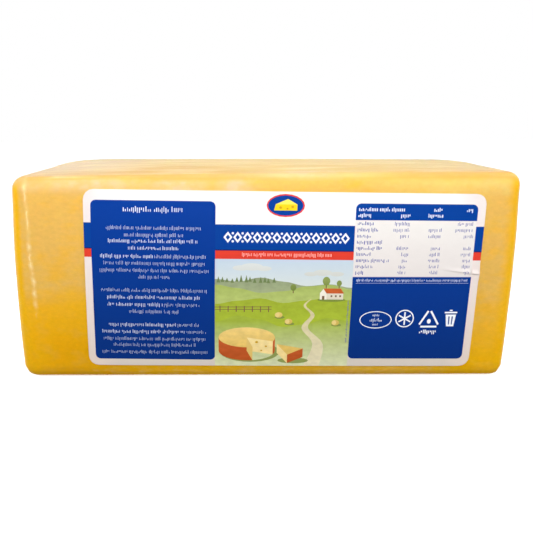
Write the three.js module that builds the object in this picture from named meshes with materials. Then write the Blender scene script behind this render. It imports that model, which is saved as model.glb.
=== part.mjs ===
import * as THREE from 'three';

// Catering block of smoked kashkaval, shrunk into tight clear film, with one large printed label.
// Millimetres, +Z up. The labelled front faces -Y and the block stands on its base at Z = 0.

// Driving dimensions of the block
const LENGTH = 256;
const DEPTH = 112;
const HEIGHT = 106.4;
const EDGE_RADIUS = { frontLeft: 11, frontRight: 8.5, back: 36 };
const TOP_EDGE_RADIUS = 6.5;
const FOOT_EDGE_RADIUS = 5;

// How far the middle of each face swells beyond its edges, and how square the swelling is
const FACE_SWELL = 4;
const END_SWELL = 4;
const TOP_SWELL = 3;
const SWELL_POWER = 2.4;
const TOP_SWELL_FADE = 4;

// The block leans a little to +X, as a soft block settles: sideways travel for each millimetre of height
const LEAN = 0.021;

// How much two opposite corners of the top stand up and the other two sink, and how far both back ones rise
const TOP_TWIST = 0.8;
const BACK_LIFT = 1;

// How much each end is drawn in just below the top, at what height, and how far up and down that reaches
const WAIST = 0.65;
const WAIST_Z = 95;
const WAIST_REACH = 18;

// Driving dimensions of the label, whose middle is off the middle of the front
const LABEL_LENGTH = 198.1;
const LABEL_HEIGHT = 90.6;
const LABEL_RADIUS = { frontLeft: 5, frontRight: 5, back: 5 };
const LABEL_X = 9.45;
const LABEL_Z = 53.3;
const LABEL_TURN = THREE.MathUtils.degToRad(-0.81);
const LABEL_THICKNESS = 0.3;
const LABEL_GAP = 0.2;

// Fineness of the meshes
const BLOCK_STEPS = { halfLong: 9, halfShort: 4, corner: 6 };
const LABEL_STEPS = { halfLong: 9, halfShort: 4, corner: 4 };
const FOOT_STEPS = 4;
const SIDE_STEPS = 10;
const TOP_EDGE_STEPS = 5;
const TOP_FACE_STEPS = 5;
const LABEL_FACE_STEPS = 4;
const SLIT_HALF_WIDTH = 2;

// Quarter of an outline of a rounded rectangle, from the middle of its +X side to the middle of its +Y side.
// A slit has round ends and no short sides.
function quarterOutline(halfLength, halfWidth, radius, steps) {
  const x = halfLength - radius;
  const y = halfWidth - radius;
  const shortSteps = y > SLIT_HALF_WIDTH / 100 ? steps.halfShort : 0;
  const cornerSteps = steps.halfShort + steps.corner - shortSteps;
  const quarter = [];
  for (let i = 0; i < shortSteps; i++) {
    quarter.push([halfLength, (y * i) / shortSteps]);
  }
  for (let i = 0; i <= cornerSteps; i++) {
    const angle = (Math.PI / 2) * (i / cornerSteps);
    quarter.push([x + radius * Math.cos(angle), y + radius * Math.sin(angle)]);
  }
  for (let i = 1; i <= steps.halfLong; i++) {
    quarter.push([x * (1 - i / steps.halfLong), halfWidth]);
  }
  return quarter;
}

// Closed outline, anticlockwise from the middle of its +X side, with its own radius at each front (-Y) corner.
// Point i and point (count - i) face each other across the long axis.
function roundedOutline(halfLength, halfWidth, radius, steps) {
  const back = quarterOutline(halfLength, halfWidth, radius.back, steps);
  const frontLeft = quarterOutline(halfLength, halfWidth, radius.frontLeft, steps);
  const frontRight = quarterOutline(halfLength, halfWidth, radius.frontRight, steps);
  return [
    ...back,
    ...back.slice(0, -1).reverse().map(([x, y]) => [-x, y]),
    ...frontLeft.slice(1).map(([x, y]) => [-x, -y]),
    ...frontRight.slice(1, -1).reverse().map(([x, y]) => [x, -y]),
  ];
}

// The radii left once an outline with rounded corners is drawn in
function drawnIn(radius, inset) {
  const left = (corner) => Math.max(radius[corner] - inset, SLIT_HALF_WIDTH);
  return { frontLeft: left('frontLeft'), frontRight: left('frontRight'), back: left('back') };
}

// Skin over a stack of rings with equal counts. Both end rings are closed straight across their long axis.
function loft(rings) {
  const count = rings[0].length;
  const indices = [];
  for (let ring = 0; ring < rings.length - 1; ring++) {
    for (let i = 0; i < count; i++) {
      const next = (i + 1) % count;
      const a = ring * count + i;
      const b = ring * count + next;
      indices.push(a, b, b + count);
      indices.push(a, b + count, a + count);
    }
  }
  closeRing(indices, 0, count, false);
  closeRing(indices, (rings.length - 1) * count, count, true);

  const geometry = new THREE.BufferGeometry();
  geometry.setFromPoints(rings.flat());
  geometry.setIndex(indices);
  geometry.computeVertexNormals();
  return geometry;
}

// Strip of triangles between the two facing halves of one ring
function closeRing(indices, start, count, facesUp) {
  for (let i = 0; i < count / 2; i++) {
    const near = start + i;
    const nearNext = start + i + 1;
    const far = start + ((count - i) % count);
    const farNext = start + count - i - 1;
    if (nearNext !== farNext) {
      indices.push(...turned([near, nearNext, farNext], facesUp));
    }
    if (near !== far) {
      indices.push(...turned([near, farNext, far], facesUp));
    }
  }
}

function turned(triangle, facesUp) {
  return facesUp ? triangle : [triangle[0], triangle[2], triangle[1]];
}

// 1 in the middle of a face and 0 at its edges, for a place from -1 to 1
function swellAt(place) {
  return 1 - Math.min(Math.abs(place), 1) ** SWELL_POWER;
}

// Where a point of the plain rounded block ends up once the block is swollen and leaning
function settle(x, y, z) {
  const along = x / (LENGTH / 2);
  const across = y / (DEPTH / 2);
  const up = (z / HEIGHT) * 2 - 1;
  const topShare = (z / HEIGHT) ** TOP_SWELL_FADE;
  const crown = TOP_SWELL * swellAt(along) * swellAt(across);
  const corners = BACK_LIFT * along ** 2 * Math.max(across, 0) - TOP_TWIST * along * across;
  const waist = WAIST * Math.exp(-(((z - WAIST_Z) / WAIST_REACH) ** 2));
  return new THREE.Vector3(
    x + along * (END_SWELL * swellAt(across) * swellAt(up) - waist) + LEAN * (z - HEIGHT / 2),
    y + FACE_SWELL * across * swellAt(along) * swellAt(up),
    z + topShare * (crown + corners),
  );
}

// How far the rounded foot and top edges hold the side back at a height
function edgeInset(z) {
  const intoTop = z - (HEIGHT - TOP_EDGE_RADIUS);
  const intoFoot = FOOT_EDGE_RADIUS - z;
  if (intoTop > 0) {
    return TOP_EDGE_RADIUS - Math.sqrt(TOP_EDGE_RADIUS ** 2 - intoTop ** 2);
  }
  if (intoFoot > 0) {
    return FOOT_EDGE_RADIUS - Math.sqrt(FOOT_EDGE_RADIUS ** 2 - intoFoot ** 2);
  }
  return 0;
}

// One level ring of the block, drawn in from its full outline
function blockRing(inset, z) {
  const radius = drawnIn(EDGE_RADIUS, inset);
  const outline = roundedOutline(LENGTH / 2 - inset, DEPTH / 2 - inset, radius, BLOCK_STEPS);
  return outline.map(([x, y]) => settle(x, y, z));
}

// Rings from the flat base, round the foot, up the sides and over the top edge to a slit along the top
function blockGeometry() {
  const rings = [];
  for (let i = 0; i < FOOT_STEPS; i++) {
    const angle = (Math.PI / 2) * (i / FOOT_STEPS);
    const inset = FOOT_EDGE_RADIUS * (1 - Math.sin(angle));
    rings.push(blockRing(inset, FOOT_EDGE_RADIUS * (1 - Math.cos(angle))));
  }
  const sideTop = HEIGHT - TOP_EDGE_RADIUS;
  for (let i = 0; i < SIDE_STEPS; i++) {
    rings.push(blockRing(0, THREE.MathUtils.lerp(FOOT_EDGE_RADIUS, sideTop, i / SIDE_STEPS)));
  }
  for (let i = 0; i < TOP_EDGE_STEPS; i++) {
    const angle = (Math.PI / 2) * (i / TOP_EDGE_STEPS);
    const inset = TOP_EDGE_RADIUS * (1 - Math.cos(angle));
    rings.push(blockRing(inset, sideTop + TOP_EDGE_RADIUS * Math.sin(angle)));
  }
  const slitInset = DEPTH / 2 - SLIT_HALF_WIDTH;
  for (let i = 0; i <= TOP_FACE_STEPS; i++) {
    rings.push(blockRing(THREE.MathUtils.lerp(TOP_EDGE_RADIUS, slitInset, i / TOP_FACE_STEPS), HEIGHT));
  }
  return loft(rings);
}

// A point of the label, measured from its middle, laid on the swollen front and lifted off it
function onFront(s, t, lift) {
  const x = LABEL_X + s * Math.cos(LABEL_TURN) - t * Math.sin(LABEL_TURN);
  const z = LABEL_Z + s * Math.sin(LABEL_TURN) + t * Math.cos(LABEL_TURN);
  const front = settle(x, edgeInset(z) - DEPTH / 2, z);
  return new THREE.Vector3(x + LEAN * (z - HEIGHT / 2), front.y - lift, z);
}

// One ring of the label, drawn in from its edge
function labelRing(inset, lift) {
  const radius = drawnIn(LABEL_RADIUS, inset);
  const halfLength = LABEL_LENGTH / 2 - inset;
  const halfHeight = LABEL_HEIGHT / 2 - inset;
  const outline = roundedOutline(halfLength, halfHeight, radius, LABEL_STEPS);
  return outline.map(([s, t]) => onFront(s, t, lift));
}

// Rings over the label's back from a slit to the edge, then over its face back to a slit
function labelGeometry() {
  const slitInset = LABEL_HEIGHT / 2 - SLIT_HALF_WIDTH;
  const backRings = [];
  const faceRings = [];
  for (let i = 0; i <= LABEL_FACE_STEPS; i++) {
    const inset = slitInset * (i / LABEL_FACE_STEPS);
    backRings.unshift(labelRing(inset, LABEL_GAP));
    faceRings.push(labelRing(inset, LABEL_GAP + LABEL_THICKNESS));
  }
  return loft([...backRings, ...faceRings]);
}

// Clear film over golden cheese
function wrappedCheese() {
  const material = new THREE.MeshStandardMaterial({ color: 0xf0bd58, roughness: 0.3, metalness: 0 });
  const mesh = new THREE.Mesh(blockGeometry(), material);
  mesh.name = 'wrapped_cheese';
  return mesh;
}

// Glossy paper, seen here in the blue of its largest printed areas
function label() {
  const material = new THREE.MeshStandardMaterial({ color: 0x0f489e, roughness: 0.4, metalness: 0 });
  const mesh = new THREE.Mesh(labelGeometry(), material);
  mesh.name = 'label';
  return mesh;
}

// The label makes the front stand out more than the back, so the part moves back by half of that
const part = new THREE.Group();
part.add(wrappedCheese(), label());
part.position.y = (LABEL_GAP + LABEL_THICKNESS) / 2;

export default part;
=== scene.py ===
import math
import random

import bpy
import numpy as np
from mathutils import Matrix, Vector, geometry, noise


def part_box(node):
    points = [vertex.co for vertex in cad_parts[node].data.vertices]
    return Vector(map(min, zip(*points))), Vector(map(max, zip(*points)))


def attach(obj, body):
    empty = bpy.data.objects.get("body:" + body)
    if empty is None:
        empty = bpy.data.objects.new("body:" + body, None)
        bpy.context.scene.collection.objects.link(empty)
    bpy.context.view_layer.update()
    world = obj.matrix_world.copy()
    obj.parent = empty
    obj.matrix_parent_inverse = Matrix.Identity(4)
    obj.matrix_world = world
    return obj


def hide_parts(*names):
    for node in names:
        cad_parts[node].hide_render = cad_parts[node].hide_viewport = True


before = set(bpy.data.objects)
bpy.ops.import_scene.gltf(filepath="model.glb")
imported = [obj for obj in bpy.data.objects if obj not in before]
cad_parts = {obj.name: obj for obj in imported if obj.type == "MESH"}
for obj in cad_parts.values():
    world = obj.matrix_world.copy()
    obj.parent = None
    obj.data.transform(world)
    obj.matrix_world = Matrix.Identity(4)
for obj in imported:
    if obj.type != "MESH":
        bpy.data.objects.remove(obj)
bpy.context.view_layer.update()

# Sizes are in millimetres until a mesh is made
MM = 0.001

# The block's form, as the frame has it: a rounded box, swollen in the middle of each face and leaning
LEFT_EDGE_RADIUS = 11
RIGHT_EDGE_RADIUS = 8.5
BACK_EDGE_RADIUS = 36
TOP_EDGE_RADIUS = 6.5
FOOT_EDGE_RADIUS = 5
FACE_SWELL = 4
END_SWELL = 4
TOP_SWELL = 3
SWELL_POWER = 2.4
TOP_SWELL_FADE = 4
LEAN = 0.021
block_low, block_high = (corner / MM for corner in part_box("wrapped_cheese"))
LENGTH = block_high.x - block_low.x - 2 * END_SWELL
DEPTH = block_high.y - block_low.y - 2 * FACE_SWELL
HEIGHT = block_high.z - TOP_SWELL
MIDDLE_Y = (block_high.y + block_low.y) / 2

# How far two opposite corners of the top stand up and the other two sink, and how far both back ones rise
TWIST = 0.8
BACK_LIFT = 1.0

# How far each end is drawn in just below the top, at what height, and how far up and down that reaches
WAIST = 0.65
WAIST_Z = 95
WAIST_REACH = 18

# Fineness of the two skins: the length of their quads near the edges of the block and elsewhere
CHEESE_FINENESS = (1.6, 3.2)
FILM_FINENESS = (0.9, 2.0)

# The label, measured from its middle: s runs along it to the right and t up it
LABEL_LENGTH = 198.1
LABEL_HEIGHT = 90.6
HALF_S = LABEL_LENGTH / 2
HALF_T = LABEL_HEIGHT / 2
LABEL_CORNER_RADIUS = 5
LABEL_X = 9.45
LABEL_Z = 53.3
LABEL_TURN = math.radians(-0.81)
LABEL_BACK = 0.2
LABEL_FACE = 0.5

# The paper isn't quite square: how low its lower left corner is cut, by what share it tapers to the right,
# and how far the middle of its lower edge is pushed to the right
LABEL_SKEW = 0.8
LABEL_TAPER = 0.007
LABEL_BEND = 0.7

# The two ends of the crease near the label's right end
CREASE_START = (79, 7.5)
CREASE_END = (100, 4.9)

# Fields of the print, as low and high edges, or as left, right, low and high ones
BAND = (16.4, 29.1)
OVERPRINT = (16.1, 16.6)
RED_STRIP = (11.9, 16.1)
LEFT_PANEL = (-95.5, -33.8, -42.4, 40.2)
TABLE = (34.9, 95, 3, 32.2)
TABLE_HEADER = (35, 95.2, 31.9, 40.1)
LOWER_PANEL = (35, 95.2, -41.2, 3.3)
PICTURE = (-33.9, 35, -46, 11.9)
PANEL_RADIUS = 2.6

# Lines of small print: where the left panel's have their middle, and how far a line stands below its height
PANEL_MIDDLE = -64.4
PRINT_DROP = 0.8

# Camera of the photograph
CAMERA_PLACE = (3.41, -357.85, 134.41)
CAMERA_YAW = math.radians(-0.311)
CAMERA_PITCH = math.radians(13.726)
CAMERA_ROLL = math.radians(-0.29)
CAMERA_LENS = 41.57
CAMERA_SENSOR = 36

# The painted highlight on gathered film down the left front edge, as pairs of height and x, and its knots'
# heights
STREAK = ((101.8, -117.3), (81.5, -116.8), (65, -117.5), (53, -116.6), (46, -116.8), (38, -116.7))
STREAK_KNOTS = (100.5, 71.3, 61.5, 53.5, 47, 41)

# The thin painted highlight along the top front edge: its height, and the x where it is strongest
THREAD_Z = 105.6
THREAD_X = -95

# Pale patches in the band above the label, partly air under the film and partly painted highlight, as pairs
# of the middle's x and the half length
PALE_PATCHES = ((-82, 6), (-43, 15), (-15, 8))

# The x where a pale smear of sheen is painted over the top front edge, and where shade is painted low down
SMEAR_X = 25
LOW_SHADE_X = -92

dice = random.Random(7)


# Colours

def colour(red, green, blue):
    """A colour as screens show it, from 0 to 255, as the light that it sends back."""
    shares = [value / 255 for value in (red, green, blue)]
    return tuple(v / 12.92 if v <= 0.04045 else ((v + 0.055) / 1.055) ** 2.4 for v in shares) + (1.0,)


# The cheese under clinging film, with painted shade low near its left end, under the film's painted sheen, in
# the pale of painted highlights, sheen streaks and foot specks, and along the golden top edge
TIGHT = colour(246, 190, 9)
TIGHT_SHADED_LOW_LEFT = colour(241, 181, 3)
SHEENED = colour(235, 192, 100)
PALE_GLINTS_AND_SPECKS = colour(252, 226, 168)
RIDGE = colour(228, 181, 92)

# The top, pale with the film's painted sheen: most of it, its left end and its darker far edge
TOP_SHEEN = colour(232, 198, 114)
TOP_SHEEN_LEFT = colour(231, 201, 161)
TOP_SHEEN_FAR = colour(218, 188, 114)

# The pale patches in the band above the label, partly air under the film and partly painted highlight: most
# of them, and those at its right end
PATCH = colour(230, 204, 162)
PATCH_RIGHT = colour(237, 211, 129)

# White paper at the label's two ends is warmer, low and high on it; lower down it is darker, as painted shade
PAPER_END_LOW = colour(224, 208, 197)
PAPER_END_HIGH = colour(231, 221, 219)


def even(*shade):
    """An ink that has one colour all over."""
    return shade, shade, 0, 1


# Each ink's colour low and high on the label, and the two heights between which it changes: in the picture
# this is print; over the paper, the panels, the table and the marks it is painted shade, darker lower down
INKS = {
    "paper": ((213, 204, 193), (240, 236, 234), -40, 30),
    "band_blue": even(2, 61, 148),
    "overprint": even(20, 38, 90),
    "red": even(218, 62, 46),
    "panel_blue": ((3, 48, 125), (4, 58, 149), -40, 40),
    "table_paper": ((224, 217, 214), (230, 226, 222), 3, 30),
    "marks": ((200, 208, 228), (220, 228, 244), -40, 30),
    "violet_marks": even(84, 88, 160),
    "white_marks": even(238, 240, 244),
    "pink_marks": even(248, 176, 166),
    "yellow": even(240, 206, 30),
    "pale_yellow": even(250, 228, 96),
    "hole": even(206, 158, 30),
    "sky": ((212, 219, 215), (190, 206, 220), -4, 12),
    "cloud": ((203, 205, 198), (212, 216, 214), 3, 9),
    "far_hill": ((160, 170, 130), (140, 152, 118), -6, 3),
    "conifer": ((112, 130, 82), (104, 122, 80), 0, 4),
    "hill_green": ((176, 190, 110), (160, 176, 92), -10, 0),
    "tree": ((112, 130, 62), (150, 164, 92), -4, 4),
    "trunk": even(120, 92, 66),
    "meadow": ((168, 186, 56), (156, 172, 52), -22, -8),
    "meadow_light": ((214, 218, 178), (158, 176, 62), -46, -20),
    "shade_green": ((140, 152, 84), (120, 138, 58), -40, -8),
    "path": ((226, 216, 180), (206, 194, 146), -40, -10),
    "barn_side": ((216, 206, 186), (222, 214, 196), -9, -5),
    "barn_end": even(236, 230, 216),
    "rind": ((186, 84, 36), (196, 92, 46), -40, -28),
    "hay": ((206, 176, 86), (222, 194, 108), -22, -16),
    "hay_end": even(226, 202, 128),
    "cheese_top": ((226, 190, 100), (236, 204, 124), -36, -24),
    "cheese_face": ((240, 214, 144), (244, 220, 156), -42, -28),
    "cheese_shade": ((222, 188, 104), (228, 196, 116), -42, -28),
}

# Inks of the picture, which are a little mottled
PICTURE_INKS = (
    "far_hill", "hill_green", "tree", "meadow", "meadow_light", "path", "rind", "hay", "cheese_top",
    "cheese_face",
)


# The block's form

def swell_at(place):
    """1 in the middle of a face and 0 at its edges, for a place from -1 to 1."""
    return 1 - np.minimum(np.abs(place), 1) ** SWELL_POWER


def bell(value, middle, half):
    """1 at the middle and less to both sides, with about a third left at the distance half."""
    return np.exp(-(((value - middle) / half) ** 2))


def settle(x, y, z):
    """Where a point of the plain rounded block ends up once the block is swollen and leaning."""
    along = x / (LENGTH / 2)
    across = y / (DEPTH / 2)
    up = z / HEIGHT * 2 - 1
    top_share = (z / HEIGHT) ** TOP_SWELL_FADE
    crown = TOP_SWELL * swell_at(along) * swell_at(across)
    back_lift = BACK_LIFT * along**2 * np.maximum(across, 0)
    end_swell = END_SWELL * swell_at(across) * swell_at(up) - WAIST * bell(z, WAIST_Z, WAIST_REACH)
    return (
        x + along * end_swell + LEAN * (z - HEIGHT / 2),
        y + FACE_SWELL * across * swell_at(along) * swell_at(up) + MIDDLE_Y,
        z + top_share * (crown - TWIST * along * across + back_lift),
    )


def edge_inset(z):
    """How far the rounded foot and top edges hold the side back at a height."""
    into_top = np.maximum(z - (HEIGHT - TOP_EDGE_RADIUS), 0)
    into_foot = np.maximum(FOOT_EDGE_RADIUS - z, 0)
    top = TOP_EDGE_RADIUS - np.sqrt(TOP_EDGE_RADIUS**2 - into_top**2)
    foot = FOOT_EDGE_RADIUS - np.sqrt(FOOT_EDGE_RADIUS**2 - into_foot**2)
    return top + foot


def rounded_plan(a, b, inset):
    """Place in plan of a point of the square from -1 to 1, on a rounded rectangle drawn in by inset."""
    reach = max(abs(a), abs(b))
    if reach == 0:
        return 0.0, 0.0
    half_x, half_y = LENGTH / 2 - inset, DEPTH / 2 - inset
    front_radius = RIGHT_EDGE_RADIUS if a > 0 else LEFT_EDGE_RADIUS
    radius = (BACK_EDGE_RADIUS if b > 0 else front_radius) - inset
    x, y = a / reach * half_x, b / reach * half_y
    core_x = min(max(x, radius - half_x), half_x - radius)
    core_y = min(max(y, radius - half_y), half_y - radius)
    out_x, out_y = x - core_x, y - core_y
    out = math.hypot(out_x, out_y)
    return reach * (core_x + out_x * radius / out), reach * (core_y + out_y * radius / out)


def stations(half, edge_zone, fine, coarse):
    """Places from -1 to 1 along a side of length 2 * half, closer together near both ends."""
    fine_count = round(edge_zone / fine)
    coarse_count = round((2 * half - 2 * edge_zone) / coarse)
    low = np.linspace(-half, edge_zone - half, fine_count, endpoint=False)
    middle = np.linspace(edge_zone - half, half - edge_zone, coarse_count + 1)
    return np.concatenate([low, middle, -low[::-1]]) / half


def side_rows(fine, coarse):
    """Pairs of inset and height up the side, from the flat base round the foot to the top face."""
    rows = []
    quarter = math.pi / 2
    foot_steps = round(quarter * FOOT_EDGE_RADIUS / coarse)
    for step in range(foot_steps):
        angle = quarter * step / foot_steps
        rows.append((FOOT_EDGE_RADIUS * (1 - math.sin(angle)), FOOT_EDGE_RADIUS * (1 - math.cos(angle))))
    shoulder = HEIGHT - TOP_EDGE_RADIUS
    fine_from = shoulder - 2 * TOP_EDGE_RADIUS
    for low, high, spacing in ((FOOT_EDGE_RADIUS, fine_from, coarse), (fine_from, shoulder, fine)):
        for height in np.linspace(low, high, round((high - low) / spacing), endpoint=False):
            rows.append((0.0, height))
    top_steps = round(quarter * TOP_EDGE_RADIUS / fine)
    for step in range(top_steps + 1):
        angle = quarter * step / top_steps
        rows.append((TOP_EDGE_RADIUS * (1 - math.cos(angle)), shoulder + TOP_EDGE_RADIUS * math.sin(angle)))
    return rows


def around(columns, lines):
    """Places along the edge of a grid, anticlockwise from its lower left corner."""
    ring = [(i, 0) for i in range(columns)] + [(columns, j) for j in range(lines)]
    return ring + [(i, lines) for i in range(columns, 0, -1)] + [(0, j) for j in range(lines, 0, -1)]


def close_ring(points, quads, first, across, deep, inset, height, facing_up):
    """Closes the ring of points that starts at number first with a level grid of quads."""
    columns, lines = len(across) - 1, len(deep) - 1
    number = {place: first + order for order, place in enumerate(around(columns, lines))}
    for i in range(1, columns):
        for j in range(1, lines):
            number[i, j] = len(points)
            points.append((*rounded_plan(across[i], deep[j], inset), height))
    for i in range(columns):
        for j in range(lines):
            quad = (number[i, j], number[i + 1, j], number[i + 1, j + 1], number[i, j + 1])
            quads.append(quad if facing_up else quad[::-1])


def block_skin(fine, coarse):
    """Points of the plain rounded block, before it settles, and the quads between them."""
    edge_zone = 20
    across = stations(LENGTH / 2, edge_zone, fine, coarse)
    deep = stations(DEPTH / 2, edge_zone, fine, coarse)
    ring = [(across[i], deep[j]) for i, j in around(len(across) - 1, len(deep) - 1)]
    count = len(ring)
    rows = side_rows(fine, coarse)
    points = [(*rounded_plan(a, b, inset), height) for inset, height in rows for a, b in ring]
    quads = []
    for row in range(len(rows) - 1):
        for i in range(count):
            here, beside = row * count + i, row * count + (i + 1) % count
            quads.append((here, beside, beside + count, here + count))
    close_ring(points, quads, 0, across, deep, *rows[0], facing_up=False)
    close_ring(points, quads, (len(rows) - 1) * count, across, deep, *rows[-1], facing_up=True)
    return np.array(points), quads


def placed(name, data):
    """A new object in the scene, made of a mesh, a lamp or a camera."""
    thing = bpy.data.objects.new(name, data)
    bpy.context.scene.collection.objects.link(thing)
    return thing


def block_piece(name, fineness, material, relief):
    """A smooth skin of the settled block, moved along its normals by relief, and where its points were."""
    plain, quads = block_skin(*fineness)
    settled = np.column_stack(settle(*plain.T))
    mesh = bpy.data.meshes.new(name)
    mesh.from_pydata([Vector(point) * MM for point in settled], [], quads)
    normals = [vertex.normal.copy() for vertex in mesh.vertices]
    for vertex, normal, place in zip(mesh.vertices, normals, plain):
        vertex.co += normal * relief(Vector(place)) * MM
    mesh.materials.append(material)
    mesh.shade_smooth()
    return placed(name, mesh), plain


# Materials

def new_material(name):
    """A material, its node tree and its shader."""
    material = bpy.data.materials.new(name)
    material.use_nodes = True
    tree = material.node_tree
    return material, tree, tree.nodes["Principled BSDF"]


def set_inputs(node, values):
    """Gives a node's own inputs their values, by name."""
    for name, value in values.items():
        node.inputs[name].default_value = value


def noise_node(tree, scale, detail, stretch=(1, 1, 1)):
    """Noise over the part's own coordinates, with features of about scale millimetres."""
    place = tree.nodes.new("ShaderNodeTexCoord")
    mapping = tree.nodes.new("ShaderNodeMapping")
    set_inputs(mapping, {"Scale": [1 / (scale * MM * share) for share in stretch]})
    texture = tree.nodes.new("ShaderNodeTexNoise")
    set_inputs(texture, {"Scale": 1, "Detail": detail})
    tree.links.new(place.outputs["Object"], mapping.inputs["Vector"])
    tree.links.new(mapping.outputs["Vector"], texture.inputs["Vector"])
    return texture.outputs["Fac"]


def ranged(tree, source, low, high, to_low, to_high):
    """The source brought from the range low..high to the range to_low..to_high."""
    node = tree.nodes.new("ShaderNodeMapRange")
    set_inputs(node, {"From Min": low, "From Max": high, "To Min": to_low, "To Max": to_high})
    tree.links.new(source, node.inputs["Value"])
    return node.outputs["Result"]


def mixed(tree, share, first, second):
    """Blend of two colours, each a colour or a socket."""
    node = tree.nodes.new("ShaderNodeMix")
    node.data_type = "RGBA"
    for socket, value in (("A", first), ("B", second)):
        target = next(s for s in node.inputs if s.name == socket and s.type == "RGBA")
        if isinstance(value, tuple):
            target.default_value = value
        else:
            tree.links.new(value, target)
    factor = next(s for s in node.inputs if s.name == "Factor" and s.type == "VALUE")
    tree.links.new(share, factor)
    return next(s for s in node.outputs if s.type == "RGBA")


def brightened(tree, body, brightness):
    """A colour made brighter or darker by a value around 1."""
    node = tree.nodes.new("ShaderNodeHueSaturation")
    tree.links.new(brightness, node.inputs["Value"])
    tree.links.new(body, node.inputs["Color"])
    return node.outputs["Color"]


def bumped(tree, height, tall, strength):
    """A bump tall millimetres high from a height between 0 and 1."""
    bump = tree.nodes.new("ShaderNodeBump")
    set_inputs(bump, {"Distance": tall * MM, "Strength": strength})
    tree.links.new(height, bump.inputs["Height"])
    return bump.outputs["Normal"]


def place_along(tree, axis):
    """The part's own coordinate along one axis, in metres."""
    place = tree.nodes.new("ShaderNodeTexCoord")
    split = tree.nodes.new("ShaderNodeSeparateXYZ")
    tree.links.new(place.outputs["Object"], split.inputs["Vector"])
    return split.outputs[axis]


def place_share(tree, axis, low, high):
    """0 where the coordinate along an axis is low and 1 where it is high, both in millimetres."""
    return ranged(tree, place_along(tree, axis), low * MM, high * MM, 0, 1)


def combined(tree, operation, *values):
    """Sum, maximum or the like of values, each a number or a socket."""
    result = values[0]
    for value in values[1:]:
        node = tree.nodes.new("ShaderNodeMath")
        node.operation = operation
        for socket, given in zip(node.inputs, (result, value)):
            if isinstance(given, (int, float)):
                socket.default_value = given
            else:
                tree.links.new(given, socket)
        result = node.outputs["Value"]
    return result


def product(tree, *values):
    """Product of values, each a number or a socket."""
    return combined(tree, "MULTIPLY", *values)


def distance(tree, value, middle):
    """How far a value is from a middle, to either side. Both may be a number or a socket."""
    return combined(tree, "ABSOLUTE", combined(tree, "SUBTRACT", value, middle), 0)


def painted_share(tree, name):
    """A value from 0 to 1 that the mesh carries under a name."""
    attribute = tree.nodes.new("ShaderNodeAttribute")
    attribute.attribute_name = name
    return attribute.outputs["Fac"]


def edge_streak(tree):
    """Up to 1 on a broken, wandering painted highlight down the left front edge, where the film is gathered.
    """
    height = place_along(tree, "Z")
    line = STREAK[0][1] * MM
    for (high, start), (low, end) in zip(STREAK, STREAK[1:]):
        travel = ranged(tree, height, high * MM, low * MM, 0, (end - start) * MM)
        line = combined(tree, "ADD", travel, line)
    kink = ranged(tree, noise_node(tree, 2.5, 2, (50, 50, 1)), 0.3, 0.7, -0.35 * MM, 0.35 * MM)
    off = distance(tree, place_along(tree, "X"), combined(tree, "ADD", line, kink))
    knots = 0
    for knot in STREAK_KNOTS:
        from_knot = distance(tree, height, knot * MM)
        knots = combined(tree, "MAXIMUM", ranged(tree, from_knot, 0.4 * MM, 2.6 * MM, 1, 0), knots)
    broken = ranged(tree, noise_node(tree, 3.5, 3, (3, 3, 1)), 0.42, 0.62, 0.15, 0.9)
    thread = ranged(tree, off, 0.2 * MM, 0.7 * MM, 1, 0)
    thread = product(tree, thread, combined(tree, "MAXIMUM", broken, knots))
    halo = ranged(tree, off, 0, 1.7 * MM, 1, 0)
    halo = product(tree, halo, ranged(tree, knots, 0, 1, 0.25, 0.95))
    streak = combined(tree, "MAXIMUM", thread, halo)
    low_end = place_share(tree, "Z", 33, 46)
    front = place_share(tree, "Y", -45, -50)
    return product(tree, streak, low_end, front)


def top_thread(tree):
    """Up to 1 on a thin painted highlight along the top front edge, strongest near its left end."""
    off = distance(tree, place_along(tree, "Z"), THREAD_Z * MM)
    core = ranged(tree, off, 0.2 * MM, 0.8 * MM, 1, 0)
    from_end = distance(tree, place_along(tree, "X"), THREAD_X * MM)
    strength = ranged(tree, from_end, 7 * MM, 15 * MM, 0.6, 0.15)
    broken = ranged(tree, noise_node(tree, 14, 2, (1, 50, 50)), 0.4, 0.6, 0.3, 1)
    strength = product(tree, strength, broken)
    front = place_share(tree, "Y", -44, -47)
    return product(tree, core, strength, front)


def sheened_cheese(tree):
    """The cheese's colour, with the film's sheen painted over it and painted shade low near its left end."""
    # Painted sheen of the film, broken into clouds, mottle and spots
    clouds = ranged(tree, noise_node(tree, 24, 3, (1.6, 1.6, 1)), 0.3, 0.7, 0.72, 1.3)
    mottle = ranged(tree, noise_node(tree, 5, 3, (2.2, 2.2, 1)), 0.3, 0.7, 0.65, 1.35)
    painted_sheen = product(tree, painted_share(tree, "painted_sheen"), clouds, mottle)
    spots = ranged(tree, noise_node(tree, 6, 3, (1.5, 1.5, 1)), 0.46, 0.68, 0.01, 0.18)
    painted_sheen = combined(tree, "MAXIMUM", painted_sheen, spots)
    # Painted shade: the cheese is darker low down near its left end
    off = distance(tree, place_along(tree, "X"), LOW_SHADE_X * MM)
    shade_low_left = ranged(tree, off, 14 * MM, 34 * MM, 1, 0)
    shade_low_left = product(tree, shade_low_left, place_share(tree, "Z", 46, 14))
    body = mixed(tree, painted_sheen, mixed(tree, shade_low_left, TIGHT, TIGHT_SHADED_LOW_LEFT), SHEENED)
    grain = ranged(tree, noise_node(tree, 1.6, 3, (1.5, 1.5, 1)), 0.3, 0.7, 0.96, 1.04)
    return brightened(tree, body, grain)


def sheened_top(tree):
    """Colour of the top, with the film's sheen painted over it."""
    to_left = place_share(tree, "X", -55, -100)
    to_far = place_share(tree, "Y", 24, 36)
    return mixed(tree, to_far, mixed(tree, to_left, TOP_SHEEN, TOP_SHEEN_LEFT), TOP_SHEEN_FAR)


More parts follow.
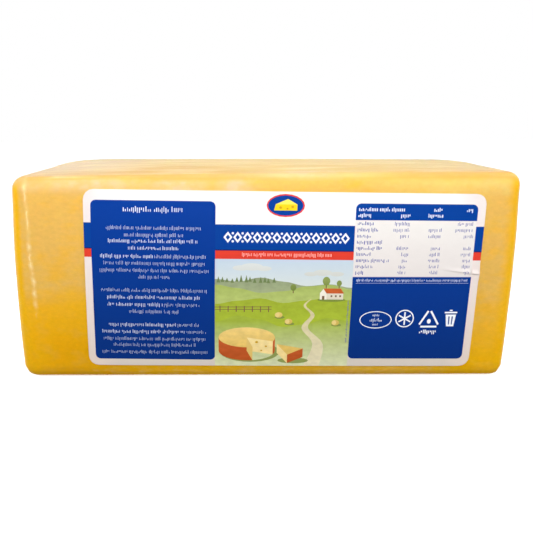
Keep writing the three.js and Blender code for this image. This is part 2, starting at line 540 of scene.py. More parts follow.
def painted_glints_and_streaks(tree):
    """Up to 1 on pale lines of painted highlight and painted sheen on the film."""
    # Streaks of painted sheen over the top, whose share the mesh carries as drawn
    drawn = ranged(tree, noise_node(tree, 5, 2, (7, 1.5, 1)), 0.42, 0.68, 0, 1)
    drawn = product(tree, painted_share(tree, "drawn"), drawn)
    return combined(tree, "MAXIMUM", edge_streak(tree), top_thread(tree), drawn)


def foot_specks(tree):
    """Up to a quarter on small specks along the foot, which are fainter towards both ends."""
    specks = ranged(tree, noise_node(tree, 2.6, 2, (2.6, 2.6, 1)), 0.48, 0.74, 0, 0.26)
    ends = ranged(tree, distance(tree, place_along(tree, "X"), 0), 86 * MM, 102 * MM, 1, 0.15)
    return product(tree, specks, place_share(tree, "Z", 10, 4), ends)


def cheese_material():
    """Golden smoked cheese under film, with the film's sheen and highlights painted paler into its colour."""
    material, tree, shader = new_material("smoked_cheese")
    body = mixed(tree, painted_share(tree, "ridge"), sheened_cheese(tree), RIDGE)
    # The film's sheen painted over the top, whose share the mesh carries as milky
    body = mixed(tree, painted_share(tree, "milky"), body, sheened_top(tree))
    # Pale patches, partly air under the film and partly painted highlight
    patches = ranged(tree, noise_node(tree, 3.5, 3, (1.4, 1.4, 1)), 0.36, 0.6, 0.55, 1)
    patches = product(tree, painted_share(tree, "patchy"), patches)
    to_right = place_share(tree, "X", 20, 70)
    body = mixed(tree, patches, body, mixed(tree, to_right, PATCH, PATCH_RIGHT))
    # Painted highlights and sheen streaks on the film, and pale specks along the foot, in one pale colour
    body = mixed(tree, painted_glints_and_streaks(tree), body, PALE_GLINTS_AND_SPECKS)
    body = mixed(tree, foot_specks(tree), body, PALE_GLINTS_AND_SPECKS)
    tree.links.new(body, shader.inputs["Base Color"])
    set_inputs(shader, {
        "Roughness": 0.55, "Specular IOR Level": 0.05, "Subsurface Weight": 0.3,
        "Subsurface Radius": (1.0, 0.45, 0.12), "Subsurface Scale": 4 * MM,
    })
    tree.links.new(bumped(tree, noise_node(tree, 2.5, 3), 0.05, 0.4), shader.inputs["Normal"])
    return material


def film_material():
    """Clear glossy film: nearly all see-through head on, and a mirror of the room at a glancing angle."""
    material, tree, shader = new_material("clear_film")
    set_inputs(shader, {"Base Color": (1, 1, 1, 1), "Metallic": 1})
    smears = noise_node(tree, 9, 3)
    tree.links.new(ranged(tree, smears, 0.3, 0.7, 0.1, 0.22), shader.inputs["Roughness"])
    fresnel = tree.nodes.new("ShaderNodeFresnel")
    set_inputs(fresnel, {"IOR": 1.5})
    tree.links.new(ranged(tree, fresnel.outputs["Fac"], 0.04, 1, 0.045, 0.32), shader.inputs["Alpha"])
    crinkle = noise_node(tree, 5, 3, (1, 1, 1.5))
    crinkle = product(tree, crinkle, place_share(tree, "Z", HEIGHT + 0.5, HEIGHT - 3))
    tree.links.new(bumped(tree, crinkle, 0.15, 0.5), shader.inputs["Normal"])
    return material


# The cheese and its film

def cheese_relief(place):
    """The cheese lies just under the film, and dips away from it a little here and there."""
    return -0.12 - max(noise.noise(place / 14), 0) * 0.15


def film_relief(place):
    """Film pulled tight over the block: long low waves, and puckers along the top edge. The base is flat."""
    if place.z < 1:
        return 0.0
    wave = 0.05 + noise.noise(place / 35) * 0.08
    pucker = max(noise.noise(Vector((place.x / 9, place.y / 9, place.z / 4))), 0)
    return wave + 0.4 * bell(place.z, HEIGHT - 3, 7) * pucker + gather_relief(place)


def gather_relief(place):
    """A low ridge of film under the line down the left front edge."""
    if place.x > -108 or place.y > -45 or not STREAK[-1][0] < place.z < STREAK[0][0]:
        return 0.0
    heights, places = zip(*STREAK[::-1])
    line = np.interp(place.z, heights, places)
    return 0.3 * bell(settle(*place)[0], line, 1.1) * (0.6 + 0.4 * math.sin(place.z / 2.3))


def smooth_share(value, low, high):
    """0 at low and 1 at high, with a soft start and end."""
    share = min(max((value - low) / (high - low), 0), 1)
    return share * share * (3 - 2 * share)


def corner_distance(x, y):
    """How far a point is, in plan, from the nearest corner of the plain block."""
    return math.hypot(LENGTH / 2 - abs(x), DEPTH / 2 - abs(y))


def left_share(x):
    """1 at the left end of the block and 0 from its middle on."""
    return 1 - smooth_share(x, -75, -45)


def painted_sheen_share(x, y, z):
    """How much sheen is painted: none low down and round the upright edges, more up high and at the foot."""
    from_corner = corner_distance(x, y)
    drift = noise.noise(Vector((x / 22, y / 22, z / 30)))
    left = 0.14 * smooth_share(z, 12, 40) + 0.86 * smooth_share(z + 5 * drift, 39.5, 52)
    left *= smooth_share(from_corner, 4.4, 7.5)
    right = smooth_share(z + 4 * drift, 3, 66) * smooth_share(from_corner, 2, 10.5)
    share = smooth_share(x, -70, 70)
    foot = (1 - smooth_share(z, 5, 10)) * (0.03 + 0.33 * share) * (1 + drift)
    foot = max(foot, 0.04) * (1 - smooth_share(x, 84, 98))
    return max(left * (1 - share) + right * share, foot)


def top_sheen_share(x, y, z):
    """How much sheen is painted: only over the top, nearer to its front edge in one place than in another."""
    near = bell(x, 28, 34)
    front = 20 * bell(x, -45, 22) - 32 * near - 36
    over_edge = smooth_share(z, HEIGHT - 0.2 - 2 * near, HEIGHT - 1.1 * near)
    return over_edge * (0.25 + 0.7 * smooth_share(y, front - 14, front + 14))


def film_ridge(x, y, z):
    """How golden the top edge is: most at its left corner, least at the smear."""
    rise = left_share(x) - 0.7 * smooth_share(x, 55, 95)
    edge = smooth_share(z, 103 + 2 * rise, 105.4 + 0.8 * rise) * (1 - 0.75 * bell(x, SMEAR_X, 32))
    corner = 0.85 * (1 - smooth_share(x, -114, -104)) * smooth_share(z, 100.5, 103.5)
    return max(edge, corner)


def film_patches(x, y, z):
    """How strongly pale patches, part air and part painted highlight, show above the label and in the smear.
    """
    left, right = left_share(x), smooth_share(x, 40, 90)
    rise = left - right
    band = smooth_share(z, 94 + 3 * left, 98 + 4 * left)
    band *= 1 - smooth_share(z, 103 + rise, 105.3 + 0.7 * rise)
    band *= smooth_share(corner_distance(x, y), 4.4, 9)
    nearest = max(bell(x, middle, half) for middle, half in PALE_PATCHES)
    left *= 0.45 + 0.3 * smooth_share(x, -108, -95)
    smear = 0.6 * bell(x, SMEAR_X, 34) * smooth_share(z, 103.2, 105.6) * (1 - smooth_share(y, -50, -40))
    return max(band * max(nearest, left, 0.7 * right), smear)


def top_sheen_streaks(x, y, z):
    """How strongly streaks of painted sheen show over the top, most near its left end and the smear."""
    left = bell(x + 107, (y + 16) / 2.4, 5) * (1 - smooth_share(y, 0, 20))
    smear = bell(x, SMEAR_X, 32) * (1 - smooth_share(y, -25, 0))
    return smooth_share(z, HEIGHT - 0.2, HEIGHT) * max(left, 0.55, smear)


def wrapped_cheese():
    """The cheese, whose mesh carries how the film over it looks at each point, and the film's own skin."""
    shares = {
        "painted_sheen": painted_sheen_share, "ridge": film_ridge, "milky": top_sheen_share,
        "patchy": film_patches, "drawn": top_sheen_streaks,
    }
    cheese, plain = block_piece("cheese_block", CHEESE_FINENESS, cheese_material(), cheese_relief)
    for name, share_at in shares.items():
        share = cheese.data.attributes.new(name, "FLOAT", "POINT")
        share.data.foreach_set("value", [share_at(*place) for place in plain])
    film, _ = block_piece("clear_film_wrap", FILM_FINENESS, film_material(), film_relief)
    for piece in (cheese, film):
        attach(piece, "root")
        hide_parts("wrapped_cheese")


wrapped_cheese()


# The label's print: pairs of an ink and an outline, in the order in which they are laid
fields = []


def lay(ink, outline):
    fields.append((ink, outline))


def rounded_box(left, right, low, high, radius=0, square=()):
    """Anticlockwise outline of an upright box, with the corners numbered from the lower left one."""
    outline = []
    for corner, (s, t) in enumerate(((left, low), (right, low), (right, high), (left, high))):
        r = 0 if corner in square else radius
        middle_s = s + r if corner in (0, 3) else s - r
        middle_t = t + r if corner in (0, 1) else t - r
        steps = 4 if r > 1 else 1
        for step in range(steps + 1 if r else 1):
            angle = math.pi * (1 + corner / 2 + step / steps / 2)
            outline.append((middle_s + r * math.cos(angle), middle_t + r * math.sin(angle)))
    return outline


def oval(s, t, half_s, half_t, steps=20):
    """Outline of an upright oval with its middle at s, t."""
    angles = [2 * math.pi * step / steps for step in range(steps)]
    return [(s + half_s * math.cos(a), t + half_t * math.sin(a)) for a in angles]


def bar(start, end, width):
    """Outline of a straight bar between two points."""
    (s1, t1), (s2, t2) = start, end
    length = math.hypot(s2 - s1, t2 - t1)
    ds, dt = (t2 - t1) / length * width / 2, (s1 - s2) / length * width / 2
    return [(s1 + ds, t1 + dt), (s2 + ds, t2 + dt), (s2 - ds, t2 - dt), (s1 - ds, t1 - dt)]


def hill(heights, low):
    """Rolling ground over the picture: a smooth curve through evenly spaced heights, filled down to low."""
    left, right = PICTURE[:2]
    steps = 24
    top = []
    for step in range(steps + 1):
        place = step / steps * (len(heights) - 1)
        before = min(int(place), len(heights) - 2)
        share = (1 - math.cos(math.pi * (place - before))) / 2
        height = heights[before] * (1 - share) + heights[before + 1] * share
        top.append((left + (right - left) * step / steps, height))
    return [(left, low), (right, low)] + top[::-1]


def strokes(ink, left, right, low, tall, stroke, gap, upright=False):
    """A row of plain strokes in groups, like a line of small print with no letters, which may run upwards."""
    place, in_group = left, dice.randint(5, 16)
    while place < right - stroke:
        wide = stroke * dice.uniform(0.8, 1.4)
        foot, head = dice.choice(((0, 1), (0, 1), (0, 1), (0, 1.35), (0.4, 1), (0, 0.6), (-0.35, 1)))
        outline = rounded_box(place, place + wide, low + tall * foot, low + tall * head)
        lay(ink, [(left + low - t, low - left + s) for s, t in outline] if upright else outline)
        place += wide + gap * dice.uniform(0.7, 1.3)
        in_group -= 1
        if in_group == 0:
            place += tall * 0.5
            in_group = dice.randint(4, 18)


def bands_and_panels():
    """White paper, the two bands across it, and the blue panels at both ends."""
    lay("paper", label_outline())
    for ink, edges in (("band_blue", BAND), ("overprint", OVERPRINT), ("red", RED_STRIP)):
        lay(ink, rounded_box(-HALF_S, HALF_S, *edges))
    lay("panel_blue", rounded_box(*LEFT_PANEL, PANEL_RADIUS))
    lay("table_paper", rounded_box(*TABLE))
    lay("band_blue", rounded_box(*TABLE_HEADER, PANEL_RADIUS, square=(0, 1)))
    lay("panel_blue", rounded_box(*LOWER_PANEL, PANEL_RADIUS, square=(2, 3)))


def label_outline():
    """The label's rounded rectangle, with a low lower left corner, and with points all along its sides."""
    spacing = 5
    corners = rounded_box(-HALF_S, HALF_S, -HALF_T, HALF_T, LABEL_CORNER_RADIUS)
    outline = []
    for (s1, t1), (s2, t2) in zip(corners, corners[1:] + corners[:1]):
        count = max(round(math.hypot(s2 - s1, t2 - t1) / spacing), 1)
        outline += [(s1 + (s2 - s1) * i / count, t1 + (t2 - t1) * i / count) for i in range(count)]
    return [(s, t - LABEL_SKEW * (1 - s / HALF_S) * (1 - t / HALF_T) / 4) for s, t in outline]


def panel_print():
    """Lines of small print on the left panel, some partly bold, each a little left of the one above."""
    lines = (
        (35.6, 30, 1), (26.8, 48, 0), (23.3, 30, 0), (20.3, 45, 1), (16.8, 25, 1), (12.6, 53, 0.5),
        (9.1, 51, 0), (5.5, 55, 0), (2.1, 16, 0), (-4.8, 54, 0), (-8.5, 47, 1), (-12.3, 47, 0.6),
        (-16, 26, 0), (-23.1, 46, 0.75), (-26.9, 53, 0.8), (-30.8, 53, 0), (-34.2, 43, 0), (-38.2, 55, 0),
    )
    for height, wide, bold_share in lines:
        middle = PANEL_MIDDLE - (35 - height) / 130
        left, right = middle - wide / 2, middle + wide / 2
        bold_end = left + wide * bold_share
        tall = 1.9 if height > 30 else 1.4
        if bold_share > 0:
            strokes("marks", left, bold_end, height - PRINT_DROP, tall, tall * 0.18, tall * 0.33)
        if bold_share < 1:
            strokes("marks", bold_end + 0.6, right, height - PRINT_DROP, tall, tall * 0.1, tall * 0.35)


def lozenge(s, t, wide, tall):
    """Outline of an upright lozenge with its middle at s, t."""
    return [(s, t - tall / 2), (s + wide / 2, t), (s, t + tall / 2), (s - wide / 2, t)]


def title_print():
    """A woven border of white lozenges and dots on the band, and small strokes on the red strip."""
    start, end, middle, count = -27.6, 30.4, 22.8, 12
    pitch = (end - start) / count
    for place in range(count + 1):
        s = start + pitch * place
        lay("white_marks", lozenge(s, middle, 4.4, 5.6))
        lay("band_blue", lozenge(s, middle, 2.2, 2.8))
        if place < count:
            for t in (middle - 2, middle + 2):
                lay("white_marks", oval(s + pitch / 2, t, 0.6, 0.6, 10))
    strokes("pink_marks", -20.5, 24.5, 13.5, 1.4, 0.3, 0.34)


def emblem():
    """A plain wedge of cheese in an oval, at the top of the label."""
    lay("red", oval(0.5, 38.6, 9.4, 5.6))
    lay("band_blue", oval(0.5, 38.6, 8.7, 4.9))
    lay("yellow", [(-5.2, 36.2), (6.2, 36.2), (6.2, 39.2), (-4.4, 39.2)])
    lay("pale_yellow", [(-4.4, 39.2), (6.2, 39.2), (1.6, 41.8)])
    for s, t, size in ((-2, 37.6, 0.75), (1.4, 37.1, 0.55), (3.9, 38, 0.7)):
        lay("hole", oval(s, t, size, size * 0.85, 10))


def table_print():
    """The table's header and rows, as plain marks: a first column and three narrower ones."""
    header = (
        (37.2, 36.5, 59.5), (37.2, 73.5, 78.8), (37.2, 89.7, 93.2),
        (34.3, 36.3, 43.2), (34.3, 57.3, 62.3), (34.3, 70.8, 78.4),
    )
    for height, left, right in header:
        strokes("marks", left, right, height - PRINT_DROP, 1.4, 0.42, 0.34)
    rows = (
        (30.3, 7.7, 7.5, 0, 8), (27.2, 10.5, 8, 6.5, 9), (24.1, 7.7, 4.5, 6.5, 4.5), (21.1, 13, 0, 0, 0),
        (18, 13, 6, 4.7, 4.2), (14.9, 7.7, 3.3, 5.3, 5.1), (11.8, 16.5, 2.8, 5.6, 4), (8.7, 8.4, 4.2, 4.9, 4),
        (5.6, 4.4, 4.7, 4.4, 2.8),
    )
    start, column_ends = 36.2, (62, 78, 93.8)
    for height, *widths in rows:
        strokes("violet_marks", start, start + widths[0], height - PRINT_DROP, 1.35, 0.32, 0.36)
        for right, wide in zip(column_ends, widths[1:]):
            if wide:
                strokes("violet_marks", right - wide, right, height - PRINT_DROP, 1.35, 0.25, 0.4)
    strokes("marks", 37, 93.5, 1, 1, 0.2, 0.34)
    lay("marks", rounded_box(36.8, 94, 0, 0.12))


def oval_sign(s, t):
    """An oval ring with three lines of marks in it."""
    lay("white_marks", oval(s, t, 8.3, 4.7, 28))
    lay("panel_blue", oval(s, t, 7.85, 4.25, 28))
    for left, right, low, tall in ((-1.7, 1.9, 2, 0.8), (-2.9, 3.3, -0.9, 1.4), (-1.5, 1.5, -3, 0.8)):
        strokes("marks", s + left, s + right, t + low, tall, tall * 0.24, tall * 0.26)


def ring_sign(s, t):
    """A ring with three crossing bars in it."""
    lay("white_marks", oval(s, t, 4.8, 4.8, 28))
    lay("panel_blue", oval(s, t, 4.2, 4.2, 28))
    for spoke in range(3):
        angle = math.pi * (spoke / 3 + 1 / 6)
        out_s, out_t = 3.5 * math.cos(angle), 3.5 * math.sin(angle)
        lay("white_marks", bar((s - out_s, t - out_t), (s + out_s, t + out_t), 0.75))


def triangle_sign(s, t):
    """Three bars that make a triangle with open corners, a dot in it and marks below it."""
    up, shade_low_left, low_right = math.pi / 2, -2.618, -0.524
    corners = [(s + 6.4 * math.cos(a), t + 6.4 * math.sin(a)) for a in (up, shade_low_left, low_right)]
    for (s1, t1), (s2, t2) in zip(corners, corners[1:] + corners[:1]):
        start = (s1 + (s2 - s1) * 0.12, t1 + (t2 - t1) * 0.12)
        end = (s1 + (s2 - s1) * 0.88, t1 + (t2 - t1) * 0.88)
        lay("white_marks", bar(start, end, 1))
    lay("white_marks", oval(s, t - 0.3, 1, 1.3, 12))
    strokes("white_marks", s - 4.5, s + 4.6, t - 6.9, 1.5, 0.45, 0.4)


def bin_sign(s, t):
    """A bin with two slots, a lid and a handle."""
    lay("white_marks", [(s - 1.9, t - 4), (s + 1.9, t - 4), (s + 2.7, t + 2.4), (s - 2.7, t + 2.4)])
    lay("panel_blue", [(s - 1, t - 3), (s - 0.5, t - 3), (s - 0.5, t + 1.4), (s - 1.2, t + 1.4)])
    lay("panel_blue", [(s + 0.5, t - 3), (s + 1, t - 3), (s + 1.2, t + 1.4), (s + 0.5, t + 1.4)])
    lay("white_marks", rounded_box(s - 3.3, s + 3.3, t + 3.1, t + 3.9, 0.25))
    lay("white_marks", rounded_box(s - 0.8, s + 0.8, t + 4.3, t + 5, 0.25))


def small_signs():
    """A row of plain signs on the lower panel."""
    oval_sign(48.1, -19.4)
    ring_sign(63, -18.7)
    triangle_sign(75.7, -19.9)
    bin_sign(86.8, -19)


def sky_and_hills():
    """Sky with clouds, a far hill with a row of conifers, and a nearer one with three trees."""
    lay("sky", rounded_box(*PICTURE))
    clouds = (
        (-21, 7.4, 1.4), (-15.5, 8, 1.9), (-9.5, 7.2, 1.3), (14, 4.6, 1.1), (20, 5.3, 1.6), (27, 4.7, 1.2),
    )
    for s, t, size in clouds:
        lay("cloud", oval(s, t, size * 3, size, 16))
    lay("far_hill", hill((1.6, 0.4, 2.6, 0.6, -1.6, -0.6, -2.4), -20))
    for place in range(13):
        s = -32 + 2.3 * place + dice.uniform(-0.5, 0.5)
        foot, tall = 0.3 + dice.uniform(-0.6, 0.2), dice.uniform(2.2, 3.8)
        lay("conifer", [(s - 0.9, foot), (s + 0.9, foot), (s, foot + tall)])
    lay("hill_green", hill((-1.2, -3, -5.4, -4.4, -1.8, -0.8, -3.4), -30))
    for s, t, size in ((5.5, -3, 1.5), (22, 0.3, 1.9), (28.5, -0.6, 1.3)):
        lay("trunk", rounded_box(s - 0.25, s + 0.25, t - size * 1.6, t))
        lay("tree", oval(s, t + size * 0.4, size, size * 1.2, 14))


def meadows():
    """Two meadows with a winding path, whose stops are given with its width there."""
    low = PICTURE[2]
    lay("meadow", hill((-11.5, -9.6, -8.2, -10.6, -9.2, -7.6, -9), low))
    lay("meadow_light", hill((-21, -17.5, -19.5, -23.5, -22, -18.5, -20), low))
    stops = (
        (14.6, -8.5, 0.7), (11.6, -12, 1.3), (15.8, -17, 2.1), (12, -24, 3.4), (19, -33, 5.4), (16, low, 8.4),
    )
    route = smooth_route(stops)
    near = [(s + wide / 2, t) for s, t, wide in route]
    far = [(s - wide / 2, t) for s, t, wide in route]
    lay("path", near[::-1] + far)


def fence():
    for post in range(7):
        s = -31.5 + post * 4.1
        lay("trunk", rounded_box(s, s + 0.5, -15.6, -12.4))
    for rail in (-13.1, -14.4):
        lay("trunk", bar((-34, rail), (-5.2, rail + 0.4), 0.35))


def hay_bales():
    for s, t in ((-1.5, -17), (3.6, -20.5), (27.5, -21)):
        lay("shade_green", oval(s + 0.5, t - 1.3, 2.6, 0.8, 14))
        lay("hay", oval(s, t, 2, 1.5, 16))
        lay("hay_end", oval(s - 0.6, t, 1.1, 1.25, 14))


def smooth_route(stops):
    """Stops joined by a smooth curve, with a few points between."""
    steps = 5
    route = []
    for before, start, end, after in zip((stops[0], *stops), stops, stops[1:], (*stops[2:], stops[-1])):
        for step in range(steps):
            u = step / steps
            shares = (-u + 2 * u**2 - u**3, 2 - 5 * u**2 + 3 * u**3, u + 4 * u**2 - 3 * u**3, u**3 - u**2)
            route.append(tuple(
                sum(share * value for share, value in zip(shares, values)) / 2
                for values in zip(before, start, end, after)
            ))
    return route + [stops[-1]]


def barn(s, t):
    """A small white barn with a red roof, seen a little from its end."""
    lay("shade_green", oval(s + 1.5, t - 0.2, 7.2, 1, 16))
    lay("barn_side", rounded_box(s - 1, s + 7.4, t, t + 3.4))
    gable = [(s - 4.4, t), (s - 1, t), (s - 1, t + 3.4), (s - 2.7, t + 5.6), (s - 4.4, t + 3.4)]
    lay("barn_end", gable)
    lay("rind", [(s - 1.1, t + 3.2), (s + 7.8, t + 3.2), (s + 6, t + 5.8), (s - 2.8, t + 5.8)])
    lay("trunk", rounded_box(s - 3.3, s - 2.1, t, t + 1.9))
    for window in (1, 3.2, 5.4):
        lay("trunk", rounded_box(s + window, s + window + 0.9, t + 1.3, t + 2.3))


def cheese_picture(s, t):
    """A low round of cheese with a wedge cut from it, and the wedge lying in front."""
    wide, flat, deep = 14.5, 5.6, 7.5

    def arc(start, end, count):
        """Points along the round's upper rim, and those below them on its foot."""
        upper = [(s + wide * math.cos(a), t + flat * math.sin(a)) for a in np.linspace(start, end, count)]
        return upper, [(a, b - deep) for a, b in upper]

    lay("shade_green", oval(s + 1.5, t - deep - 0.6, wide * 1.06, flat * 1.05, 28))
    rim, rim_foot = arc(math.pi, 2 * math.pi, 17)
    lay("rind", rim_foot + rim[::-1])
    lay("cheese_top", oval(s, t, wide, flat, 32))
    cut, cut_foot = arc(math.radians(-78), math.radians(-22), 7)
    centre, floor = (s, t), (s, t - deep)
    lay("meadow_light", cut_foot + cut[::-1])
    lay("meadow_light", [floor] + cut_foot + [cut[-1], centre])
    lay("cheese_face", [floor, cut_foot[-1], cut[-1], centre])
    lay("cheese_shade", [floor, cut_foot[0], cut[0], centre])
    for a, b, size in ((0.35, -2.6, 0.8), (0.68, -4.9, 0.6), (0.52, -7.3, 0.5)):
        lay("hole", oval(s + wide * a, t + b, size, size * 0.8, 10))
    wedge(s + 15.5, t - 3.6)


def wedge(s, t):
    """A wedge of cheese with its tip at s, t."""
    tall = 5
    tip, front, side = (s, t), (s + 5.5, t - 6), (s + 13.5, t - 2.4)
    tip_low, front_low, side_low = [(a, b - tall) for a, b in (tip, front, side)]
    lay("shade_green", oval(s + 8.5, t - 9.4, 8, 1.7, 16))
    lay("cheese_top", [tip, front, side])
    lay("cheese_face", [tip_low, front_low, front, tip])
    lay("rind", [front_low, side_low, side, front])


def all_print():
    """The whole print, from the paper up."""
    bands_and_panels()
    sky_and_hills()
    meadows()
    barn(23.4, -8.6)
    fence()
    hay_bales()
    cheese_picture(-17.5, -29.5)
    panel_print()
    title_print()
    emblem()
    table_print()
    small_signs()
    strokes("violet_marks", 33.9, 57, -32, 0.75, 0.18, 0.2, upright=True)


# The label's mesh

def ink_material(name):
    """One ink on glossy paper, whose colour may change between two heights, for some inks as painted shade.
    """
    low_colour, high_colour, low, high = INKS[name]
    material, tree, shader = new_material("ink_" + name)
    up = place_share(tree, "Z", LABEL_Z + low, LABEL_Z + high)
    ink = mixed(tree, up, colour(*low_colour), colour(*high_colour))
    if name == "paper":
        from_middle = distance(tree, place_along(tree, "X"), LABEL_X * MM)
        ends = ranged(tree, from_middle, 84 * MM, 95 * MM, 0, 1)
        ink = mixed(tree, ends, ink, mixed(tree, up, PAPER_END_LOW, PAPER_END_HIGH))
    grain = 0.09 if name in PICTURE_INKS else 0.01
    texture = noise_node(tree, 2.4, 4, (1.6, 1.6, 1))
    ink = brightened(tree, ink, ranged(tree, texture, 0.3, 0.7, 1 - grain, 1 + grain))
    tree.links.new(ink, shader.inputs["Base Color"])
    set_inputs(shader, {"Roughness": 0.5, "Specular IOR Level": 0.08})
    tree.links.new(bumped(tree, noise_node(tree, 0.8, 2), 0.02, 0.5), shader.inputs["Normal"])
    return material


def label_relief(s, t):
    """Height of the label's faint waves and of the crease at its right end, which is sharp below."""
    wave = noise.noise(Vector((s / 30, t / 22, 1.5))) * 0.06
    (s1, t1), (s2, t2) = CREASE_START, CREASE_END
    along = (s - s1) / (s2 - s1)
    off = t - (t1 + (t2 - t1) * along)
    side = 1.3 if off > 0 else 0.45
    return wave + bell(off, 0, side) * min(max(along, 0), 1)


def on_front(s, t, lift):
    """A point of the label, measured from its middle, laid on the swollen front and lifted off it."""
    cos, sin = math.cos(LABEL_TURN), math.sin(LABEL_TURN)
    s += LABEL_BEND * (1 - (s / HALF_S) ** 2) * (1 - t / HALF_T) / 2
    t *= 1 - LABEL_TAPER * s / HALF_S
    x = LABEL_X + s * cos - t * sin
    z = LABEL_Z + s * sin + t * cos
    y = settle(x, edge_inset(z) - DEPTH / 2, z)[1]
    return Vector((x + LEAN * (z - HEIGHT / 2), y - lift, z))


def face_point(s, t):
    """A point of the label's printed face."""
    return on_front(s, t, LABEL_FACE + label_relief(s, t))


def face_normal(s, t):
    """Which way the printed face looks at a point."""
    step = 0.2
    here = face_point(s, t)
    return (face_point(s + step, t) - here).cross(face_point(s, t + step) - here).normalized()


def grid_points():
    """Points all over the label that let it follow the swollen front, close together at the crease."""
    spacing, margin = 5, 2
    fine_s, fine_t, fine_left, fine_low, fine_high = 1.5, 0.4, 73, 2, 11
    end_s, end_t = HALF_S - margin, HALF_T - margin
    points = [(s, t) for s in np.arange(-end_s, end_s, spacing) for t in np.arange(-end_t, end_t, spacing)]
    columns = np.arange(fine_left, end_s + fine_s, fine_s)
    return points + [(s, t) for s in columns for t in np.arange(fine_low, fine_high, fine_t)]


def flat_mesh():
    """The flat label's corners, and its triangles, each with the number of the field that is on top there."""
    points, faces = [], []
    for ink, outline in fields:
        faces.append(list(range(len(points), len(points) + len(outline))))
        points += outline
    points += grid_points()
    flat = geometry.delaunay_2d_cdt([Vector(point) for point in points], [], faces, 1, 1e-4)
    places, _, triangles, _, _, owners = flat
    return places, [(triangle, max(owner)) for triangle, owner in zip(triangles, owners) if 0 in owner]


def sheet_normals(mesh, smooth, face_count):
    """Smooth normals for the face and, turned round, for the back, and plain ones for the edge."""
    normals = []
    for polygon in mesh.polygons:
        on_edge = polygon.index >= 2 * face_count
        side = 1 if polygon.index < face_count else -1
        for corner in polygon.vertices:
            normals.append(polygon.normal if on_edge else smooth[corner % len(smooth)] * side)
    return normals


def label():
    """The printed paper: a face with a material for each ink, a back, and the narrow edge between them."""
    all_print()
    inks = list(dict.fromkeys(ink for ink, outline in fields))
    places, on_label = flat_mesh()
    used = sorted({corner for triangle, owner in on_label for corner in triangle})
    count = len(used)
    number = {corner: i for i, corner in enumerate(used)}
    front = [[number[corner] for corner in triangle] for triangle, owner in on_label]
    back = [[corner + count for corner in triangle[::-1]] for triangle in front]
    sides = {(a, b) for triangle in front for a, b in zip(triangle, triangle[1:] + triangle[:1])}
    edge = [(a + count, b + count, b, a) for a, b in sides if (b, a) not in sides]
    vertices = [face_point(*places[corner]) * MM for corner in used]
    vertices += [on_front(*places[corner], LABEL_BACK) * MM for corner in used]

    mesh = bpy.data.meshes.new("printed_label")
    mesh.from_pydata(vertices, [], front + back + edge)
    for ink in inks:
        mesh.materials.append(ink_material(ink))
    for polygon, (triangle, owner) in zip(mesh.polygons, on_label):
        polygon.material_index = inks.index(fields[owner][0])
    mesh.shade_smooth()
    smooth = [face_normal(*places[corner]) for corner in used]
    mesh.normals_split_custom_set(sheet_normals(mesh, smooth, len(front)))
    piece = placed("printed_label", mesh)
    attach(piece, "root")
    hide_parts("label")


label()


# Floor, light and camera

def floor():
    """A pale floor that shows as white and doesn't colour the block from below."""
    size = 3.0
    mesh = bpy.data.meshes.new("floor")
    corners = [(-size, -size, 0), (size, -size, 0), (size, size, 0), (-size, size, 0)]
    mesh.from_pydata(corners, [], [(0, 1, 2, 3)])
    plane = placed("floor", mesh)
    plane.location.z = -0.2 * MM
    plane.visible_diffuse = False
    plane.visible_glossy = False
    material, tree, shader = new_material("pale_floor")
    set_inputs(shader, {
        "Base Color": (0.8, 0.8, 0.8, 1), "Roughness": 0.8,
        "Emission Color": (1, 1, 1, 1), "Emission Strength": 0.8,
    })
    mesh.materials.append(material)


def softbox(name, place, target, size, power, spread=180):
    """A lamp with a square face, turned to its target. Sizes in metres, power in watts, spread in degrees."""
    lamp = bpy.data.lights.new(name, "AREA")
    lamp.shape = "RECTANGLE"
    lamp.size, lamp.size_y = size
    lamp.energy = power
    lamp.spread = math.radians(spread)
    light = placed(name, lamp)
    light.location = place
    light.visible_glossy = False
    aim = Vector(target) - Vector(place)
    light.rotation_euler = aim.to_track_quat("-Z", "Y").to_euler()


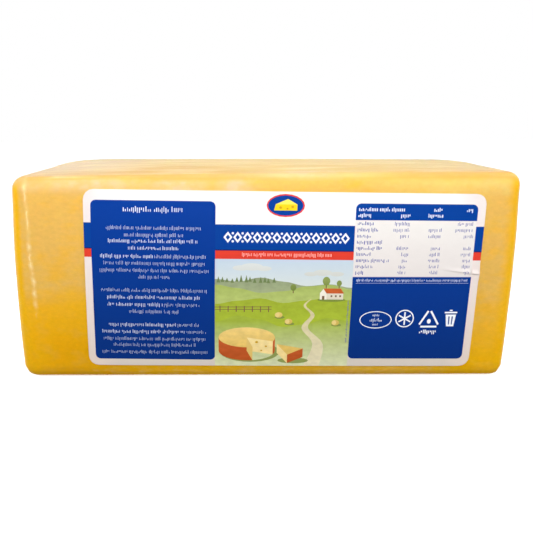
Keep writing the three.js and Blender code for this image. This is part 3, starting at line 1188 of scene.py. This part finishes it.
def studio():
    """White to the camera, an even room as light, and in reflections dark but for the back and windows."""
    world = bpy.data.worlds.new("studio")
    world.use_nodes = True
    bpy.context.scene.world = world
    tree = world.node_tree
    background = tree.nodes["Background"]
    place = tree.nodes.new("ShaderNodeTexCoord")
    split = tree.nodes.new("ShaderNodeSeparateXYZ")
    tree.links.new(place.outputs["Generated"], split.inputs["Vector"])
    room = ranged(tree, split.outputs["Z"], -0.3, 0.3, 0.5, 0.6)
    behind = ranged(tree, split.outputs["Y"], 0.15, 0.5, 0, 0.9)
    windows = ranged(tree, distance(tree, split.outputs["X"], 0), 0.45, 0.6, 0, 0.8)
    above = ranged(tree, split.outputs["Z"], -0.1, 0.02, 0, 1)
    mirrored = product(tree, behind, combined(tree, "MAXIMUM", windows, above))
    rays = tree.nodes.new("ShaderNodeLightPath")
    glossy = rays.outputs["Is Glossy Ray"]
    room = product(tree, room, combined(tree, "SUBTRACT", 1, glossy))
    mirrored = product(tree, mirrored, glossy)
    seen = combined(tree, "ADD", room, mirrored)
    seen = combined(tree, "MAXIMUM", rays.outputs["Is Camera Ray"], seen)
    tree.links.new(seen, background.inputs["Strength"])
    set_inputs(background, {"Color": (1, 1, 1, 1)})


def camera():
    """The camera of the photograph, in the metres of the scene."""
    lens = bpy.data.cameras.new("camera")
    lens.sensor_width = CAMERA_SENSOR
    lens.lens = CAMERA_LENS
    lens.clip_start = 0.01
    view = placed("camera", lens)
    aim = Matrix.Rotation(-CAMERA_YAW, 4, "Z") @ Matrix.Rotation(math.pi / 2 - CAMERA_PITCH, 4, "X")
    roll = Matrix.Rotation(CAMERA_ROLL, 4, "Z")
    view.matrix_world = Matrix.Translation(Vector(CAMERA_PLACE) * MM) @ aim @ roll
    bpy.context.scene.camera = view


floor()
studio()
softbox("key", place=(0, -0.5, 0.42), target=(0, 0, 0.2), size=(0.6, 0.2), power=0.67, spread=70)
softbox("overhead", place=(0, 0.05, 0.6), target=(0, 0, 0.1), size=(0.6, 0.5), power=0.35, spread=120)
softbox("left_light", place=(-0.75, -0.22, 0.3), target=(-0.1, 0, 0.06), size=(0.12, 0.4), power=1.95)
softbox("right_light", place=(0.8, -0.3, 0.35), target=(0.1, 0, 0.06), size=(0.3, 0.4), power=2.25)
camera()
bpy.context.scene.view_settings.view_transform = "Standard"
